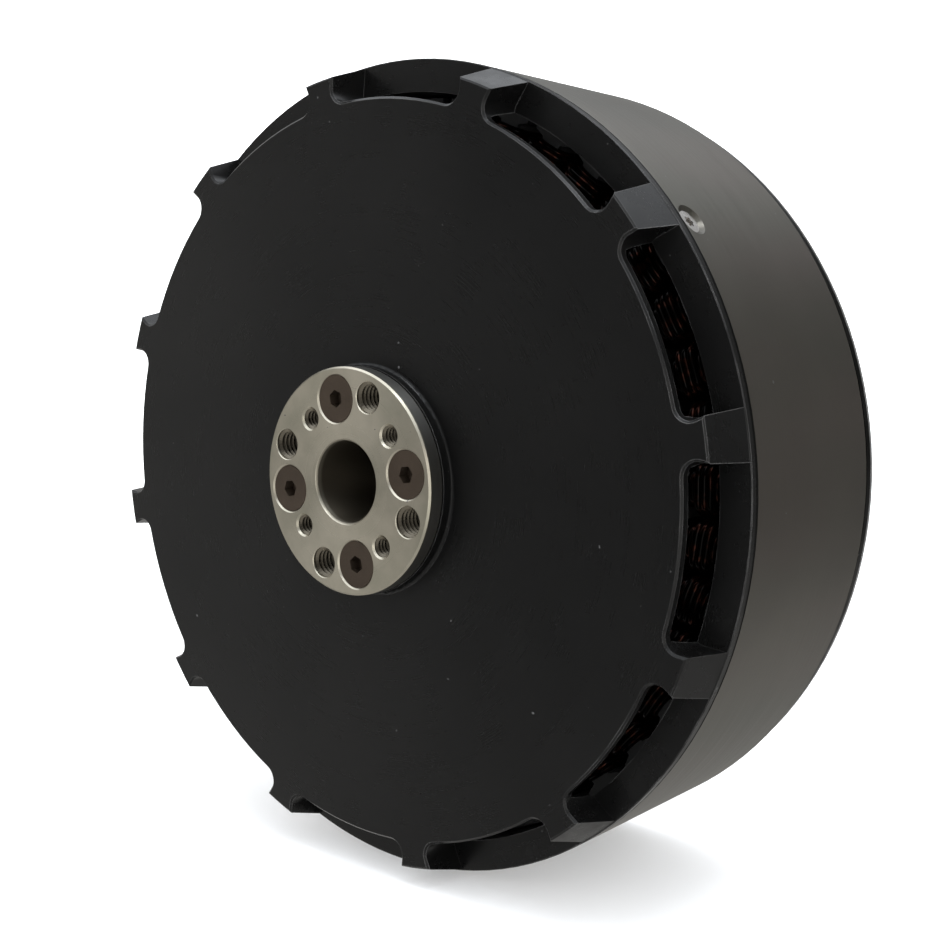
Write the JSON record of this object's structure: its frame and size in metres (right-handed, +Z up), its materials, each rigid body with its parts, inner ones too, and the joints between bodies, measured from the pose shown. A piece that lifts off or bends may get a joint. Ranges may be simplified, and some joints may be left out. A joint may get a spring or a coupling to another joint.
{
  "type": "brushless outrunner motor",
  "caption": "Wide flat brushless outrunner motor: black bevelled bell with cooling windows, smooth turning can, raised steel output hub with a through bore, round base plate.",
  "frame": {"origin": "centre of the rear mounting face, on the shaft axis", "axes": "+Y along the shaft from the output hub towards the rear mounting face and out of it, +Z up, +X to the right seen from the hub"},
  "size_m": [0.16, 0.0642, 0.16],
  "materials": {
    "black_anodised": "black anodised, satin, fine turning marks",
    "brushed_ring": "dark grey-brown coating over a finely turned steel ring, satin",
    "magnet_plating": "nickel-plated blocks",
    "hub_steel": "bright machined steel, satin face",
    "black_oxide": "brown-black oxide",
    "stainless": "bright stainless steel",
    "bearing_steel": "ground bearing steel",
    "spring_steel": "phosphated spring steel",
    "cage_plastic": "glass-filled nylon",
    "shield_sheet": "pressed sheet steel",
    "lamination_steel": "black-coated laminations",
    "insulator_plastic": "moulded end insulation",
    "enamelled_copper": "enamelled copper wire, glossy",
    "bare_aluminium": "machined aluminium",
    "grommet_rubber": "black rubber"
  },
  "bodies": {
    "stator": {"stator_core": "lamination_steel", "front_insulator": "insulator_plastic", "rear_insulator": "insulator_plastic", "phase_u_coils": "enamelled_copper", "phase_v_coils": "enamelled_copper", "phase_w_coils": "enamelled_copper", "stator_frame": "bare_aluminium", "base_plate": "black_anodised", "base_screws": "black_oxide", "bearing_retainer": "bare_aluminium", "retainer_screws": "black_oxide", "front_outer_race": "bearing_steel", "rear_outer_race": "bearing_steel", "front_shields": "shield_sheet", "rear_shields": "shield_sheet", "preload_washer": "spring_steel", "housing_circlip": "spring_steel", "lead_grommet": "grommet_rubber"},
    "rotor": {"front_bell": "black_anodised", "flux_ring": "brushed_ring", "magnets": "magnet_plating", "output_hub": "hub_steel", "hub_screws": "black_oxide", "ring_screws": "stainless", "bearing_spacer": "hub_steel", "front_spacer": "hub_steel", "shaft_shim": "bearing_steel", "shaft_circlip": "spring_steel", "front_inner_race": "bearing_steel", "rear_inner_race": "bearing_steel"},
    "front_ball_set": {"front_balls": "bearing_steel", "front_cage": "cage_plastic"},
    "rear_ball_set": {"rear_balls": "bearing_steel", "rear_cage": "cage_plastic"}
  },
  "joints": [
    {"name": "rotor_spin", "type": "hinge", "parent": "stator", "child": "rotor", "pos_m": [0, -0.0284, 0], "axis": [0, 1, 0], "continuous": true},
    {"name": "front_balls_spin", "type": "hinge", "parent": "stator", "child": "front_ball_set", "pos_m": [0, -0.0449, 0], "axis": [0, 1, 0], "continuous": true},
    {"name": "rear_balls_spin", "type": "hinge", "parent": "stator", "child": "rear_ball_set", "pos_m": [0, -0.0119, 0], "axis": [0, 1, 0], "continuous": true}
  ],
  "couplings": [
    {"joint": "front_balls_spin", "follows": "rotor_spin", "ratio": 0.429},
    {"joint": "rear_balls_spin", "follows": "rotor_spin", "ratio": 0.429}
  ]
}
